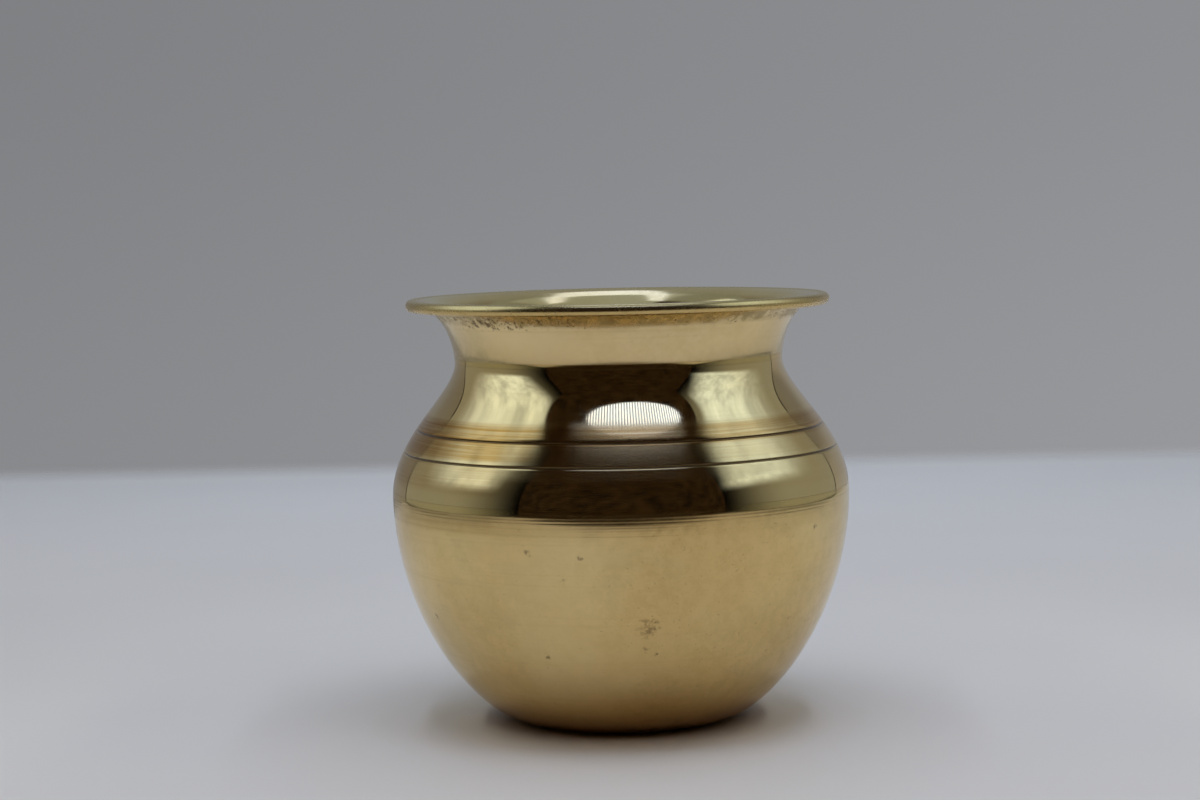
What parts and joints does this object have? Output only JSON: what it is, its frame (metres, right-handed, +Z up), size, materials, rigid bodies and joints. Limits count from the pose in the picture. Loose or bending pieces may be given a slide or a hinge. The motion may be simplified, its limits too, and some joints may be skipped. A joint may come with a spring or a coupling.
{
  "type": "brass lota",
  "caption": "Round brass water pot with a full belly, drawn-in neck and flared wired rim, lapped and brazed from sheet; stands on its flat base to hold and pour water.",
  "frame": {"origin": "middle of the flat standing face, on the axis of turning", "axes": "+Z up along the axis of turning, towards the mouth; X and Y are any two level directions, as the pot is round"},
  "size_m": [0.108, 0.108, 0.1],
  "materials": {
    "base_brass": "worn brass, dull underneath",
    "braze": "brazing brass, filed flush",
    "bowl_brass": "polished brass with turning marks and light tarnish",
    "shoulder_brass": "polished brass with two cut lines",
    "collar_brass": "polished brass with tarnish spots under the lip",
    "wire_brass": "drawn brass wire, hidden in the rim"
  },
  "bodies": {
    "root": {"base_disc": "base_brass", "base_braze": "braze", "lower_bowl": "bowl_brass", "belly_braze": "braze", "shoulder": "shoulder_brass", "neck_braze": "braze", "mouth_collar": "collar_brass", "rim_wire": "wire_brass"}
  },
  "joints": []
}
